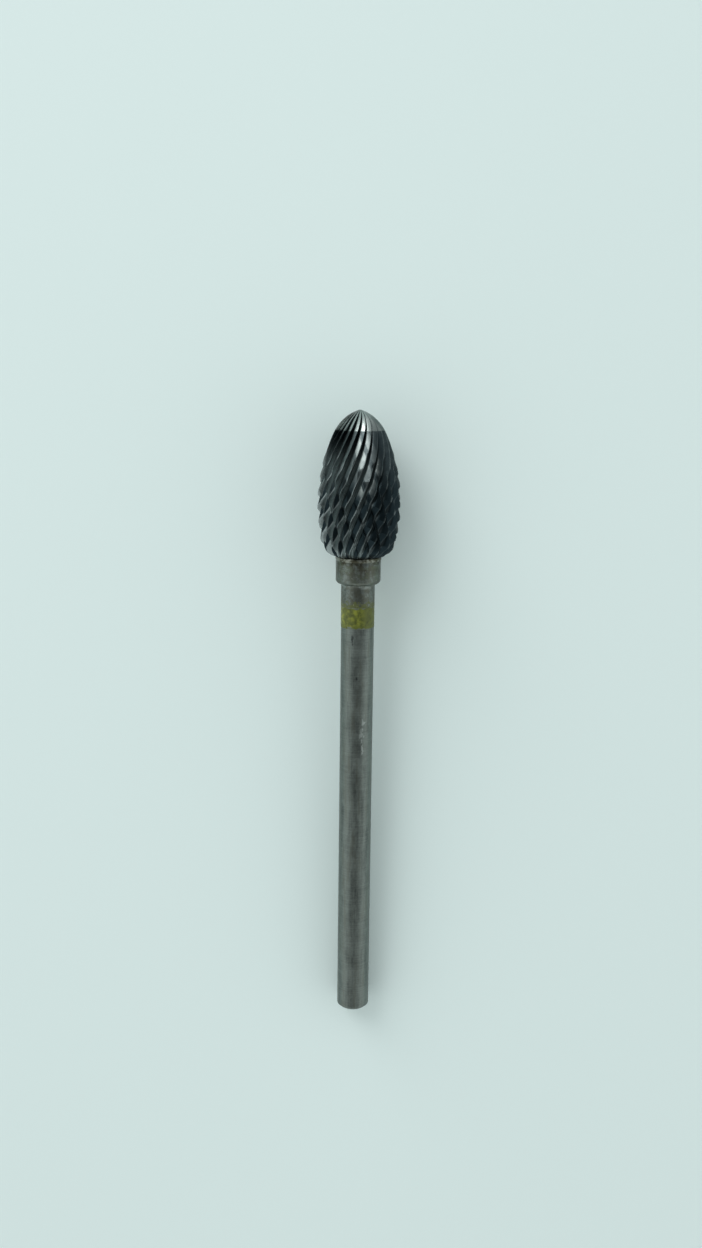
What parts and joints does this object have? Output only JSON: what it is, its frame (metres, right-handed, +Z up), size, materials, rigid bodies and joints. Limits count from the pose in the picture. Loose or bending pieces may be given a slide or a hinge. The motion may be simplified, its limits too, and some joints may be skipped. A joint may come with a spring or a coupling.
{
  "type": "carbide burr",
  "caption": "Egg-shaped cross-cut burr head brazed to the collar of a slim straight shank with a colour band, lying on its side.",
  "frame": {"origin": "on the table, under the middle of the burr's length and width as it lies at rest", "axes": "+Y from the tail of the shank to the nose of the head, +Z up off the table; the burr's own axis rises 2.63 degrees towards the head"},
  "size_m": [0.0058, 0.0444, 0.0058],
  "materials": {
    "carbide": "ground, dark grey",
    "braze": "dull, heat-stained",
    "steel": "ground round",
    "band_paint": "satin, speckled"
  },
  "bodies": {
    "root": {"cutting_head": "carbide", "braze_joint": "braze", "shank": "steel", "colour_band": "band_paint"}
  },
  "joints": []
}
